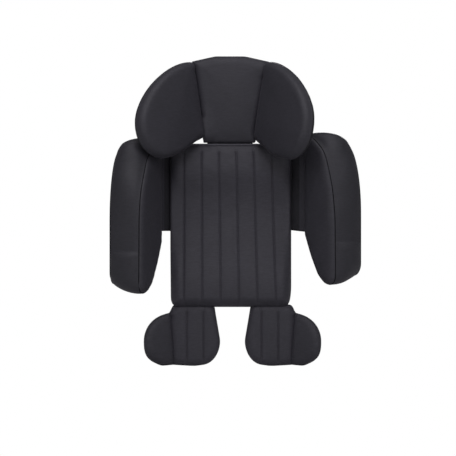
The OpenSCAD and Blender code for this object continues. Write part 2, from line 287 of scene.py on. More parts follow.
def closed_cushion(name, sheet, front, rear, plane, materials, rings=3, bulge=round_bulge(0.5 * MM)):
    """Closes a front and a rear surface over the same sheet with a band of fabric between their edges.

    front and rear are (u, v, n) arrays, one row for each of the sheet's points. bulge gives the band's
    outward swelling at a share t of its width for each point round it.
    """
    count = len(sheet.points)
    verts = [front, rear]
    loops = [np.array(sheet.ring)]
    a, b = front[sheet.ring], rear[sheet.ring]
    tangent = np.roll(sheet.loop, -1, 0) - np.roll(sheet.loop, 1, 0)
    out = np.column_stack([tangent[:, 1], -tangent[:, 0], np.zeros(len(a))])
    out /= np.linalg.norm(out, axis=1)[:, None]
    start = 2 * count
    for k in range(1, rings):
        t = k / rings
        ring = a * (1 - t) + b * t
        verts.append(ring + out * bulge(t, ring, out)[:, None])
        loops.append(np.arange(start, start + len(a)))
        start += len(a)
    loops.append(np.array(sheet.ring) + count)
    faces = [tuple(t) for t in sheet.tris] + [tuple(i + count for i in reversed(t)) for t in sheet.tris]
    slots = [0] * len(sheet.tris) + [2] * len(sheet.tris)
    points = np.vstack(verts)
    uvs = [tuple(sheet.points[i]) for t in sheet.tris for i in t]
    uvs += [tuple(sheet.points[i]) for t in sheet.tris for i in reversed(t)]
    n = len(a)
    round_s = np.concatenate([[0], np.cumsum(np.linalg.norm(np.diff(
        np.vstack([sheet.loop, sheet.loop[:1]]), axis=0), axis=1))])
    height = np.linalg.norm(a - b, axis=1).max()
    for k in range(rings):
        top, low = loops[k], loops[k + 1]
        for i in range(n):
            j = (i + 1) % n
            faces.append((top[i], low[i], low[j], top[j]))
            slots.append(1)
            h0, h1 = height * k / rings, height * (k + 1) / rings
            uvs += [(round_s[i], h0), (round_s[i], h1), (round_s[i + 1], h1), (round_s[i + 1], h0)]
    return new_object(name, plane.world(points), faces, materials, slots, uvs)


def strip(name, rows, material, thickness, first=None, first_columns=0):
    """A thin sheet through rows of points, closed on both faces. rows is an array (rows, columns, 3).

    Its first columns can take a second material, such as a darker cloth as painted shade.
    """
    rows = np.asarray(rows, float)
    across = np.gradient(rows, axis=1)
    down = np.gradient(rows, axis=0)
    normal = np.cross(across, down)
    normal /= np.linalg.norm(normal, axis=2)[..., None] + 1e-12
    r, c, _ = rows.shape
    verts = np.vstack([(rows + normal * thickness / 2).reshape(-1, 3),
                       (rows - normal * thickness / 2).reshape(-1, 3)])
    half = r * c
    step = np.linalg.norm(rows[0, 0] - rows[0, 1])
    drop = np.linalg.norm(rows[0, 0] - rows[1, 0])
    faces, uvs, slots = [], [], []

    def add(quad, uv):
        faces.append(quad)
        uvs.extend(uv)
        slots.append(int(min(k % half % c for k in quad) < first_columns))

    for i in range(r - 1):
        for j in range(c - 1):
            q = (i * c + j, i * c + j + 1, (i + 1) * c + j + 1, (i + 1) * c + j)
            uv = [(j * step, i * drop), ((j + 1) * step, i * drop),
                  ((j + 1) * step, (i + 1) * drop), (j * step, (i + 1) * drop)]
            add(tuple(reversed(q)), uv[::-1])
            add(tuple(k + half for k in q), uv)
    rim = ([(0, j) for j in range(c)] + [(i, c - 1) for i in range(1, r)]
           + [(r - 1, j) for j in range(c - 2, -1, -1)] + [(i, 0) for i in range(r - 2, 0, -1)])
    for (i0, j0), (i1, j1) in zip(rim, rim[1:] + rim[:1]):
        p, q = i0 * c + j0, i1 * c + j1
        add((p, q, q + half, p + half), [(0, 0), (step, 0), (step, thickness), (0, thickness)])
    return new_object(name, verts, faces, [material, first or material], slots, uvs)


def tube(name, path, radius, material, sides=10):
    """A closed round cord along a path of points."""
    path = np.asarray(path, float)
    tangent = np.gradient(path, axis=0)
    tangent /= np.linalg.norm(tangent, axis=1)[:, None]
    side = np.cross(tangent, (0, 1, 0.001))
    side /= np.linalg.norm(side, axis=1)[:, None]
    up = np.cross(side, tangent)
    verts, faces, uvs = [], [], []
    ends = np.sin(np.linspace(0, math.pi, len(path)))
    taper = np.clip(ends / ends[min(3, len(path) - 1)], 0.15, 1)
    for p, s, q, k in zip(path, side, up, taper):
        for i in range(sides):
            a = 2 * math.pi * i / sides
            verts.append(p + radius * k * (math.cos(a) * s + math.sin(a) * q))
    arc = np.concatenate([[0], np.cumsum(np.linalg.norm(np.diff(path, axis=0), axis=1))])
    girth = 2 * math.pi * radius
    for r in range(len(path) - 1):
        for i in range(sides):
            j = (i + 1) % sides
            faces.append((r * sides + i, r * sides + j, (r + 1) * sides + j, (r + 1) * sides + i))
            g0, g1 = girth * i / sides, girth * (i + 1) / sides
            uvs += [(arc[r], g0), (arc[r], g1), (arc[r + 1], g1), (arc[r + 1], g0)]
    first, last = len(verts), len(verts) + 1
    verts += [path[0], path[-1]]
    base = (len(path) - 1) * sides
    for i in range(sides):
        j = (i + 1) % sides
        faces += [(first, j, i), (last, base + i, base + j)]
        uvs += [(0, 0)] * 6
    return new_object(name, np.array(verts), faces, [material], uvs=uvs)


def stitches(name, runs, material, pitch=4.2 * MM, length=3.0 * MM, width=0.65 * MM):
    """Rows of small raised stitches. Each run is (points, normals) along a sewn line."""
    verts, faces = [], []
    for points, normals in runs:
        s = np.concatenate([[0], np.cumsum(np.linalg.norm(np.diff(points, axis=0), axis=1))])
        for at in np.arange(pitch, s[-1] - pitch, pitch):
            ends = [np.array([np.interp(x, s, points[:, k]) for k in range(3)])
                    for x in (at - length / 2, at + length / 2)]
            up = np.array([np.interp(at, s, normals[:, k]) for k in range(3)])
            along = ends[1] - ends[0]
            side = np.cross(along, up)
            side /= np.linalg.norm(side) + 1e-12
            mid = (ends[0] + ends[1]) / 2 + up * 0.25 * MM
            base = len(verts)
            verts += [ends[0], ends[1], mid + side * width / 2, mid + up * width * 0.6,
                      mid - side * width / 2, mid - up * width * 0.5]
            for i in range(4):
                j = (i + 1) % 4
                faces += [(base, base + 2 + j, base + 2 + i), (base + 1, base + 2 + i, base + 2 + j)]
    return new_object(name, np.array(verts), faces, [material], uvs=[(0, 0)] * (3 * len(faces)))


# ---------------------------------------------------------------- materials

def node_tree(name):
    m = bpy.data.materials.new(name)
    m.use_nodes = True
    tree = m.node_tree
    return m, tree, tree.nodes["Principled BSDF"]


def add_node(tree, kind, **inputs):
    node = tree.nodes.new(kind)
    for key, value in inputs.items():
        node.inputs[key.replace("_", " ")].default_value = value
    return node


def math_node(tree, operation, a, b=0.0):
    node = tree.nodes.new("ShaderNodeMath")
    node.operation = operation
    for socket, value in zip(node.inputs, (a, b)):
        if isinstance(value, bpy.types.NodeSocket):
            tree.links.new(value, socket)
        else:
            socket.default_value = value
    return node.outputs[0]


def centred(tree, texture, amount):
    """A noise texture's value about zero, times amount."""
    return math_node(tree, "MULTIPLY", math_node(tree, "SUBTRACT", texture.outputs["Fac"], 0.5), amount)


def weave_height(tree, u, v, cell, style):
    """Height of a woven, knitted or spacer-mesh surface, with one cell every cell metres."""
    turns = 2 * math.pi / cell
    su = math_node(tree, "SINE", math_node(tree, "MULTIPLY", u, turns))
    sv = math_node(tree, "SINE", math_node(tree, "MULTIPLY", v, turns))
    if style == "twill":
        diagonal = math_node(tree, "ADD", math_node(tree, "MULTIPLY", u, turns),
                             math_node(tree, "MULTIPLY", v, turns))
        return math_node(tree, "SINE", diagonal)
    if style == "knit":
        wobble = math_node(tree, "MULTIPLY", math_node(tree, "ABSOLUTE", su), 1.6)
        rows = math_node(tree, "SINE", math_node(tree, "ADD", math_node(tree, "MULTIPLY", v, turns * 1.2),
                                                 wobble))
        return math_node(tree, "ADD", math_node(tree, "MULTIPLY", rows, 0.6),
                         math_node(tree, "MULTIPLY", math_node(tree, "ABSOLUTE", su), 0.6))
    return math_node(tree, "MULTIPLY", su, sv)


STREAK_SCALE = (90, 90, 420)   # fine streaks, much longer across than they are high
SHEEN_TINT = (0.75, 0.74, 0.80, 1)


def fabric(name, colour, cell, style, bump, sheen, roughness=0.60, mottle=0.16, gloss=0.36):
    """Cloth: a procedural weave drives colour and bump, with soft sheen and slow colour variation."""
    m, tree, shader = node_tree(name)
    links = tree.links
    uv = tree.nodes.new("ShaderNodeUVMap")
    uv.uv_map = "weave"
    split = tree.nodes.new("ShaderNodeSeparateXYZ")
    links.new(uv.outputs[0], split.inputs[0])
    height = weave_height(tree, split.outputs[0], split.outputs[1], cell, style)
    place = tree.nodes.new("ShaderNodeTexCoord")
    slow = add_node(tree, "ShaderNodeTexNoise", Scale=14.0, Detail=3.0, Roughness=0.55)
    fuzz = add_node(tree, "ShaderNodeTexNoise", Scale=900.0, Detail=2.0, Roughness=0.6)
    streak = add_node(tree, "ShaderNodeTexNoise", Scale=1.0, Detail=3.0, Roughness=0.6)
    stretch = tree.nodes.new("ShaderNodeVectorMath")
    stretch.operation = "MULTIPLY"
    stretch.inputs[1].default_value = STREAK_SCALE
    links.new(place.outputs["Object"], stretch.inputs[0])
    links.new(stretch.outputs[0], streak.inputs["Vector"])
    for texture in (slow, fuzz):
        links.new(place.outputs["Object"], texture.inputs["Vector"])
    shade = math_node(tree, "MULTIPLY", height, 0.16)
    for texture, amount in ((slow, mottle * 2), (fuzz, 0.7), (streak, 0.9)):
        shade = math_node(tree, "ADD", shade, centred(tree, texture, amount))
    gain = math_node(tree, "ADD", shade, 1.0)
    tint = tree.nodes.new("ShaderNodeVectorMath")
    tint.operation = "SCALE"
    tint.inputs[0].default_value = colour
    links.new(gain, tint.inputs["Scale"])
    links.new(tint.outputs[0], shader.inputs["Base Color"])
    relief = math_node(tree, "ADD", math_node(tree, "MULTIPLY", height, 0.5),
                       math_node(tree, "MULTIPLY", fuzz.outputs["Fac"], 0.9))
    bumper = add_node(tree, "ShaderNodeBump", Strength=bump, Distance=0.4 * MM)
    links.new(relief, bumper.inputs["Height"])
    links.new(bumper.outputs[0], shader.inputs["Normal"])
    rough = math_node(tree, "ADD", roughness, centred(tree, slow, 0.2))
    links.new(rough, shader.inputs["Roughness"])
    shader.inputs["Sheen Weight"].default_value = sheen
    shader.inputs["Sheen Roughness"].default_value = 0.45
    shader.inputs["Sheen Tint"].default_value = SHEEN_TINT
    shader.inputs["Specular IOR Level"].default_value = gloss
    return m


QUILT = fabric("quilted_mesh", (0.0215, 0.0203, 0.0262), 2.6 * MM, "mesh", 0.55, 0.05)
KNIT = fabric("knit_fabric", (0.0160, 0.0152, 0.0199), 1.6 * MM, "knit", 0.35, 0.05)
# The same knit as KNIT, darkened for the side bands: painted shade.
SHADED_GUSSET_KNIT = fabric("shaded_gusset_knit", (0.0134, 0.0128, 0.0167), 1.6 * MM, "knit", 0.35, 0.05)
REAR = fabric("rear_cloth", (0.0110, 0.0106, 0.0130), 1.2 * MM, "twill", 0.35, 0.02, 0.75, gloss=0.25)
# Much lighter than the other cloths: a painted highlight on the piping along the pad's top edge.
BINDING = fabric("binding", (0.0600, 0.0575, 0.0680), 1.0 * MM, "twill", 0.4, 0.06)
# Near-black cords laid in the seam grooves: painted shade.
SEAM_SHADE = fabric("seam_shadow", (0.0050, 0.0050, 0.0058), 1.2 * MM, "twill", 0.2, 0.0, 0.9, gloss=0.1)
THREAD = fabric("stitch_thread", (0.0160, 0.0155, 0.0190), 0.8 * MM, "twill", 0.2, 0.04, 0.6)
LOOP = fabric("hook_and_loop", (0.0100, 0.0098, 0.0115), 0.9 * MM, "mesh", 0.9, 0.1, 0.8)


# ---------------------------------------------------------------- pads

class Pad:
    """A padded CAD segment: its plane, outline and thickness, and the cushion that stands for it.

    Along a seam line, given as (point, direction), the outline reaches the line and the cushion keeps
    most of its height. Round the rest of its edge it closes with a rounded shoulder.
    """

    def __init__(self, name, nodes, front_node, origin, up=(0, 0, 1), rounds=6, spacing=4 * MM,
                 lines=None, seams=(), extra=(), corners=(), wall=1.0 * MM, droop=0.0):
        self.name, self.nodes, self.wall, self.droop = name, nodes, wall, droop
        self.plane = Plane(origin, facing(front_node), up)
        self.local = self.plane.local(node_points(*nodes))
        self.front_t = self.local[:, 2].max()
        self.rear_t = -self.local[:, 2].min()
        outline = self.local[:, :2]
        if len(extra):
            outline = np.vstack([outline, np.array(extra) * MM])
        loop = self.trim(soft_outline(outline, rounds, np.array(corners) * MM))
        self.seams = [self.flat_line(*seam, loop.mean(0)) for seam in seams]
        for seam in self.seams:
            loop = self.meet(loop, *seam)
        self.lines = lines(self) if lines else []
        self.sheet = Sheet(loop, spacing, self.lines)
        self.measure()

    def trim(self, loop):
        """Lets the far lower part of the outline hang down by the pad's droop."""
        hang = smooth(np.abs(loop[:, 0]) / (55 * MM) - 0.27) * smooth((70 * MM - loop[:, 1]) / (60 * MM))
        return loop - np.outer(hang, [0, self.droop])

    def flat_line(self, point, direction, inside):
        """A world line in the pad's plane: a point on it and its normal towards the inside."""
        q = self.plane.local([point])[0, :2]
        d = np.array([np.dot(direction, self.plane.u), np.dot(direction, self.plane.v)])
        m = np.array([-d[1], d[0]]) / np.linalg.norm(d)
        return q, m * np.sign(np.dot(inside - q, m))

    def meet(self, loop, q, m):
        """Moves the nearest edge of the outline onto the seam line."""
        s = (loop - q) @ m
        gap = s.min()
        return loop - m * (gap * np.clip(1 - (s - gap) / (8 * MM), 0, 1))[:, None]

    def edge_gaps(self, points):
        """Distances from the edge's free part and from its sewn part, and the place round the edge."""
        gap, along = edge_distance(points, self.sheet.loop)
        if not self.seams:
            return np.maximum(gap, 0), np.full(len(points), 1.0), along
        free = np.linalg.norm(points[:, None] - self.free_edge[None], axis=2).min(1)
        sewn = np.linalg.norm(points[:, None] - self.sewn_edge[None], axis=2).min(1)
        return np.maximum(np.minimum(free, np.where(free > sewn, free, gap)), 0), sewn, along

    def measure(self):
        loop = self.sheet.loop
        if self.seams:
            fine = resample(loop, 1 * MM)
            on = np.zeros(len(fine), bool)
            for q, m in self.seams:
                on |= (fine - q) @ m < 0.4 * MM
            self.free_edge, self.sewn_edge = fine[~on], fine[on]
        self.free, self.sewn, self.along = self.edge_gaps(self.sheet.points)

    def make(self, shape_front, shape_rear, materials, **options):
        """Builds the cushion. Each shape gives a height from points, edge and seam gaps and place."""
        s = self.sheet
        self.shape_front = shape_front
        at = (s.points, self.free, self.sewn, self.along)
        self.front = np.column_stack([s.points, self.wall + shape_front(*at)])
        rear = np.column_stack([s.points, -self.wall - shape_rear(*at)])
        self.object = closed_cushion(self.name, s, self.front, rear, self.plane, materials, **options)
        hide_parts(*self.nodes)
        return self.object

    def seam_cord(self, number, radius=0.9 * MM):
        """A dark cord along one of the seam lines, sunk between the two cushions: painted shade in the
        seam's groove.
        """
        q, m = self.seams[number]
        ring = self.front[self.sheet.ring]
        path = ring[np.abs((ring[:, :2] - q) @ m) < 0.6 * MM]
        path = path[np.argsort((path[:, :2] - q) @ [m[1], -m[0]])]
        path[:, 2] -= 0.3 * MM
        return tube(f"{self.name}_seam_{number}", self.plane.world(path), radius, SEAM_SHADE)

    def on_front(self, uv, lift=0.0):
        """Points and outward normals on the front surface, in the row frame."""
        def height(p):
            return self.wall + self.shape_front(p, *self.edge_gaps(p))
        e = 0.4 * MM
        h = height(uv)
        slope_u = (height(uv + [e, 0]) - height(uv - [e, 0])) / (2 * e)
        slope_v = (height(uv + [0, e]) - height(uv - [0, e])) / (2 * e)
        normal = (self.plane.n - slope_u[:, None] * self.plane.u - slope_v[:, None] * self.plane.v)
        normal /= np.linalg.norm(normal, axis=1)[:, None]
        return self.plane.world(np.column_stack([uv, h])) + normal * lift, normal


def sewn_runs(pad):
    """Points and normals along each of a pad's channels, just proud of its front."""
    return [pad.on_front(line, 0.1 * MM) for line in pad.lines]


def segment(stem, side=""):
    """Node names of a foam block with its front and rear covers."""
    tail = f"_{side}" if side else ""
    return [f"{stem}_foam{tail}", f"{stem}_front_cover{tail}", f"{stem}_rear_cover{tail}"]


def fold_line(joint_name):
    """A fold's axis as a point and an upward direction."""
    joint = JOINTS[joint_name]
    axis = np.array(joint["axis"], float)
    return joint_point(joint_name), axis * (1 if axis[2] >= 0 else -1)


def flat_rear(pad, seed, drop=2.5 * MM, width=16 * MM, dip=0.5):
    """A flatter rear cover, slightly uneven."""
    def height(p, gap, sewn, along):
        top = pad.rear_t - pad.wall - drop
        inner = np.clip(gap / width, 0, 1)
        return (top * shoulder(gap, width, 2.2) * (1 - dip * np.exp(-sewn / (5 * MM)))
                + 0.5 * MM * ripple(p[:, 0], p[:, 1], 60 * MM, seed) * inner
                + 0.35 * MM * pucker(gap, along, 14 * MM, 7 * MM, seed + 1))
    return height


def crowned(pad, seed, width, power=2.0, crown=0.4, drop=1.0 * MM, dip=0.5, dip_width=3.6 * MM):
    """A padded front: a round shoulder at the edge and a broad crown towards the middle."""
    reach = pad.free.max()

    def height(p, gap, sewn, along):
        top = pad.front_t - pad.wall - drop
        rise = (1 - crown) * shoulder(gap, width, power) + crown * shoulder(gap, reach, 1.8)
        seam = 1 - dip * np.exp(-(sewn / dip_width) ** 1.2) - 0.10 * np.exp(-sewn / (22 * MM))
        inner = np.clip(gap / width, 0, 1)
        return (top * rise * seam + 0.55 * MM * ripple(p[:, 0], p[:, 1], 70 * MM, seed) * inner
                + 0.6 * MM * pucker(gap, along, 15 * MM, 9 * MM, seed + 1)
                + 0.2 * MM * pucker(sewn, p[:, 1], 13 * MM, 8 * MM, seed + 2) * inner)
    return height


# ---- back and seat: one quilted panel across the crease, with a dip along it

crease = joint_point("seat_fold")
back_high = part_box("back_front_cover")[1]
CHANNELS = 5
SWELLS = [(11.0, 0.92, 0.2), (-5.5, 0.42, 0.18), (6.0, 0.15, 0.12)]  # mm, share of height, spread
QUILT_TOP, QUILT_FOOT = back_high.z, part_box("seat_front_cover")[0].z


def quilt_layout(v):
    """How far down the quilting v is, the channel pitch there and the middle of the pattern."""
    t = (QUILT_TOP - v) / (QUILT_TOP - QUILT_FOOT)
    return t, (34.9 + 1.9 * t) * MM, (5 * t - 5) * MM


def quilt_seams(pad):
    """The six sewn lines of the back and seat, fanning out slightly towards the legs."""
    vs = np.arange(QUILT_FOOT + 12 * MM, QUILT_TOP - 4 * MM, 3 * MM)
    _, pitch, middle = quilt_layout(vs)
    return [np.column_stack([middle + (i - CHANNELS / 2) * pitch, vs]) for i in range(CHANNELS + 1)]


def quilt_height(pad):
    def height(p, gap, sewn, along):
        t, pitch, middle = quilt_layout(p[:, 1])
        across = (p[:, 0] - middle) / pitch + CHANNELS / 2
        inside = (across > 0) & (across < CHANNELS)
        puff = (1 - np.abs(2 * (across - np.floor(across)) - 1) ** 2.6) * inside
        margin = np.clip(np.where(across < 0, -across, across - CHANNELS), 0, 1)
        puff = puff + (1 - inside) * (1 - (1 - np.clip(margin / 0.35, 0, 1)) ** 2.6)
        line = np.clip(np.round(across), 0, CHANNELS)
        groove = np.exp(-((across - line) * pitch / (1.5 * MM)) ** 2)
        fade = np.clip(gap / (14 * MM), 0, 1)
        swell = sum(rise * np.exp(-((t - place) / width) ** 2) for rise, place, width in SWELLS)
        swell -= 2.0 * np.exp(-t / 0.05)
        dip = np.exp(-((p[:, 1] - crease[2]) / (7 * MM)) ** 2) * (0.3 + 1.6 * (1 - fade))
        relief = 1.5 * puff - 1.5 * groove + swell - dip
        relief += 0.5 * ripple(p[:, 0], p[:, 1], 80 * MM, 3) + 0.22 * ripple(p[:, 0], p[:, 1], 26 * MM, 5)
        return ((pad.front_t - pad.wall - 3.0 * MM) * shoulder(gap, 13 * MM, 2.3) + relief * MM * fade
                + 0.5 * MM * pucker(gap, along, 16 * MM, 8 * MM, 11))
    return height


back_pad = Pad("back_and_seat_pad", segment("back") + segment("seat"), "back_front_cover",
               (0, crease[1], 0), rounds=10, lines=quilt_seams, wall=8 * MM,
               extra=[(-112, -221), (112, -221), (120.5, 70), (120.5, -190)])
# The pad's side band takes the darkened knit: painted shade.
back_pad.make(quilt_height(back_pad), flat_rear(back_pad, 21, 0.5 * MM, 9 * MM), [QUILT, SHADED_GUSSET_KNIT, REAR],
              rings=6, bulge=lambda t, ring, out: (1.8 + 0.8 * out[:, 0]) * MM * math.sin(math.pi * t))
quilt_threads = stitches("quilt_stitches", sewn_runs(back_pad), THREAD)
for piece in (back_pad.object, quilt_threads):
    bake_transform(piece)


# ---- head pillow

pillow_point = joint_point("pillow_wing_left_fold")
pillow = Pad("pillow_centre_cushion", segment("pillow") + ["pillow_top_gusset"], "pillow_front_cover",
             (0, pillow_point[1], 0), rounds=3,
             extra=[(-30, 279.5), (30, 279.5)], corners=[(-77, 269), (77, 269), (-54, 107), (49, 107)],
             seams=[fold_line(f"pillow_wing_{side}_fold") for side in SIDES])
pillow_crown = crowned(pillow, 31, 16 * MM, 2.2, 0.25, dip=0.32)
PILLOW_DROOP = 10 * MM         # how much thinner the pillow's middle gets towards its foot
pillow_foot, pillow_top = pillow.local[:, 1].min(), pillow.local[:, 1].max()


def pillow_height(p, gap, sewn, along):
    """The crown, falling away towards the foot between the two seams."""
    share = np.clip((pillow_top - p[:, 1]) / (pillow_top - pillow_foot), 0, 1)
    full = pillow_crown(p, gap, sewn, along)
    return full - np.minimum(PILLOW_DROOP * share ** 2.5 * smooth(sewn / (34 * MM)), 0.5 * full)


pillow.make(pillow_height, flat_rear(pillow, 33), [KNIT, KNIT, REAR])
for piece in (pillow.object, pillow.seam_cord(0), pillow.seam_cord(1)):
    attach(piece, "pillow")


def folding_side(kind, side, front_t, seed, **outline):
    """A cushion beyond a sewn fold, its outline meeting the fold's seam line."""
    joint_name = f"{kind}_{side}_fold"
    point, up = fold_line(joint_name)
    stem = {"pillow_wing": "wing"}.get(kind, kind)
    pad = Pad(f"{kind}_cushion_{side}", segment(stem, side), f"{stem}_front_cover_{side}", point, up,
              seams=[(point, up)], **outline)
    pad.make(crowned(pad, seed, front_t, 2.0, 0.35, dip=0.32), flat_rear(pad, seed + 2, 1.5 * MM, front_t),
             [KNIT, KNIT, REAR])
    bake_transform(pad.object)
    return pad


WING_FOOT = {"left": [(-3, 0)], "right": [(2, 0), (14, -11)]}  # outline beside each seam's foot, mm
WING_DROOP = {"left": 8 * MM, "right": 14 * MM}                # how far each far tip hangs down
for side, sign in SIDES.items():
    folding_side("pillow_wing", side, 11 * MM, 41 + 7 * sign, rounds=6, corners=[(0, 153.5)],
                 extra=WING_FOOT[side], droop=WING_DROOP[side])


# ---- legs

def leg_seams(pad):
    """Two sewn channels down the quilted middle of a leg."""
    low, high = pad.local[:, :2].min(0), pad.local[:, :2].max(0)
    vs = np.arange(low[1] + 7 * MM, high[1] - 2 * MM, 3 * MM)
    us = [low[0] + (high[0] - low[0]) * share for share in (1 / 3, 2 / 3)]
    return [np.column_stack([np.full_like(vs, u), vs]) for u in us]


def leg_height(pad, seed):
    low, high = pad.local[:, :2].min(0), pad.local[:, :2].max(0)
    width = high[0] - low[0]

    def height(p, gap, sewn, along):
        cell = (p[:, 0] - low[0]) / width * 3
        puff = 1 - np.abs(2 * (cell - np.floor(cell)) - 1) ** 2.6
        groove = np.exp(-((cell - np.clip(np.round(cell), 1, 2)) * width / 3 / (1.5 * MM)) ** 2)
        fade = np.clip(gap / (11 * MM), 0, 1)
        seam = 1 - 0.55 * np.exp(-(sewn / (5 * MM)) ** 1.2)
        seam = seam * (1 - 0.32 * np.clip((high[1] - p[:, 1]) / (high[1] - low[1]), 0, 1) ** 2.4)
        return ((pad.front_t - pad.wall - 2.2 * MM) * shoulder(gap, 13 * MM, 2.1) * seam
                + (1.5 * puff - 1.5 * groove) * MM * fade * np.clip(sewn / (8 * MM), 0, 1)
                + 0.3 * MM * ripple(p[:, 0], p[:, 1], 40 * MM, seed + 5) * fade
                + 0.4 * MM * pucker(gap, along, 13 * MM, 7 * MM, seed))
    return height


for side, sign in SIDES.items():
    point, _ = fold_line(f"leg_{side}_fold")
    leg = Pad(f"leg_cushion_{side}", segment("leg", side), f"leg_front_cover_{side}", point,
              rounds=4, lines=leg_seams, extra=[(0, -121)],
              corners=[(sign * 50, -14), (sign * 43, -118.5)],
              seams=[(point + [0, 0, 2 * MM], np.array([1, 0, 0])), fold_line(f"leg_wing_{side}_fold")])
    leg.make(leg_height(leg, 51 + sign), flat_rear(leg, 53 + sign, 1.5 * MM, 13 * MM), [QUILT, KNIT, REAR])
    threads = stitches(f"leg_stitches_{side}", sewn_runs(leg), THREAD)
    for piece in (leg.object, threads, leg.seam_cord(0, 1.5 * MM), leg.seam_cord(1)):
        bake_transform(piece)
    folding_side("leg_wing", side, 13 * MM, 61 + 5 * sign, rounds=6, corners=[(0, 99.5), (0, -4.5)],
                 extra=[(sign * 26, -4)])


# ---- side bolsters

def radius(loop, centre, angles):
    """How far an outline lies from a point inside it, in each direction."""
    rel = loop - centre
    return np.interp(angles, np.arctan2(rel[:, 1], rel[:, 0]), np.linalg.norm(rel, axis=1),
                     period=2 * math.pi)


class Bolster(Pad):
    """A wedge: crowned inner panel, broad gusset round its far edge and a sloping outer panel."""

    CREASE_V = {"left": -103 * MM, "right": -99 * MM}  # height of the soft fold across the gusset
    DRAW_IN = {"left": 0.0, "right": 0.13}             # share of the inner panel given to the gusset
    FOLD_OUT, FOLD_EDGE, FOLD_FADE = 9 * MM, 4.5 * MM, 45 * MM  # how far it stands out, over what height
    GUSSET_BULGE = 5 * MM
    TOP_BULGE = 37 * MM        # extra swelling of the gusset where it faces up
    TOP_TUCK = 13 * MM         # how far the inner panel's seam lies below the swollen top
    NEAR_T = 14 * MM           # thickness where the flap is sewn on

    def __init__(self, side):
        nodes = [f"bolster_{part}_{side}" for part in ("foam", "inner_panel", "gusset", "outer_panel")]
        self.side, self.sign = side, SIDES[side]
        super().__init__(f"bolster_cushion_{side}", nodes, f"bolster_inner_panel_{side}",
                         joint_point(f"bolster_{side}_fold"), rounds=8)
        back = self.local[self.local[:, 2] < 2 * MM - self.rear_t, :2]
        loop = self.sheet.loop
        self.near = (loop[:, 0] * self.sign).min()
        near_edge = loop[loop[:, 0] * self.sign < self.near + 6 * MM]
        self.outer_loop = soft_outline(np.vstack([back, near_edge]), 8)
        self.centre = loop.mean(0)
        self.back_near = (back[:, 0] * self.sign).min()
        lift = self.local[:, 1].max() + self.local[:, 1].min()
        self.crease_v = self.CREASE_V[side] + (lift + 70 * MM) / 2

    def trim(self, loop):
        """Draws in the inner panel's upper far corner, where the gusset swells over it."""
        near = (loop[:, 0] * self.sign).min()
        upper = smooth((loop[:, 1] + 60 * MM) / (120 * MM))
        reach = loop[:, 0] * self.sign - near
        return np.column_stack([self.sign * (near + reach * (1 - self.DRAW_IN[self.side] - 0.08 * upper)),
                                loop[:, 1] - self.TOP_TUCK * np.clip(reach / (84 * MM), 0, 1) * upper])

    def outer(self, p):
        """Where a point of the inner panel comes out on the sloping outer panel."""
        rel = p[:, :2] - self.centre
        angles = np.arctan2(rel[:, 1], rel[:, 0])
        grow = radius(self.outer_loop, self.centre, angles) / radius(self.sheet.loop, self.centre, angles)
        q = self.centre + rel * grow[:, None]
        w = np.clip((q[:, 0] * self.sign - self.near) / (self.back_near - self.near), 0, 1)
        depth = self.front_t - self.NEAR_T - (self.rear_t + self.front_t - self.NEAR_T) * w
        return np.column_stack([q, depth])

    def gusset(self, t, ring, out):
        """The gusset's swelling, with a soft fold across it where the lower part stands out."""
        below = self.crease_v - ring[:, 1]
        lower = np.maximum(below, 0)
        fold = self.FOLD_OUT * (1 - np.exp(-lower / self.FOLD_EDGE)) * np.exp(-lower / self.FOLD_FADE)
        far = np.clip((ring[:, 0] * self.sign - self.back_near) / (25 * MM), 0, 1)
        wave = 0.7 * MM * ripple(ring[:, 1], ring[:, 2], 55 * MM, 83 + self.sign)
        reach = np.clip((ring[:, 0] * self.sign - self.near) / (50 * MM), 0, 1)
        top = self.TOP_BULGE * even_out(np.clip(out[:, 1], 0, 1) * smooth(reach), 11)
        swell = self.GUSSET_BULGE * (0.3 + 0.7 * reach) + fold * far + wave * reach
        arch = math.sin(math.pi * t)
        return swell * arch ** 0.7 + top * arch ** 0.65

    def build(self, seed):
        s = self.sheet
        self.wall = self.front_t - 6.5 * MM
        reach = s.gap.max()

        def inner(p, gap, sewn, along):
            rise = 0.6 * shoulder(gap, 12 * MM) + 0.4 * shoulder(gap, reach, 1.8)
            uneven = 0.7 * MM * ripple(p[:, 0], p[:, 1], 80 * MM, seed) * np.clip(gap / (20 * MM), 0, 1)
            return 8.5 * MM * rise + uneven + 0.5 * MM * pucker(gap, along, 17 * MM, 9 * MM, seed + 1)
        self.shape_front = inner
        self.front = np.column_stack([s.points, self.wall + inner(s.points, s.gap, None, s.along)])
        rear = self.outer(s.points)
        rear[:, 2] += 4 * MM * (1 - shoulder(s.gap, 16 * MM))
        # The gusset band takes the darkened knit: painted shade.
        self.object = closed_cushion(self.name, s, self.front, rear, self.plane, [KNIT, SHADED_GUSSET_KNIT, REAR],
                                     rings=14, bulge=self.gusset)
        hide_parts(*self.nodes)
        edges = []
        # Dark cords round both rims of the band: painted shade in the seam grooves.
        for label, rim in (("inner", self.front[s.ring]), ("outer", rear[s.ring])):
            path = self.plane.world(np.vstack([rim, rim[:1]]))
            edges.append(tube(f"bolster_{label}_seam_{self.side}", path, 0.9 * MM, SEAM_SHADE))
        for piece in [self.object] + edges:
            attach(piece, f"bolster_{self.side}")


bolsters = {}
for side, sign in SIDES.items():
    bolsters[side] = Bolster(side)
    bolsters[side].build(71 + sign)


# ---- flaps between the back and the bolsters

FLAP_DROP = 12 * MM            # how far each flap's top slopes down towards the back
FLAP_FOOT = {"left": 0.0, "right": 18 * MM}  # how far its lower end reaches down
FLAP_COLUMNS, FLAP_SHADE_COLUMNS = 15, 10     # points across it, and how many cells beside the back are painted shade in the dark rear cloth
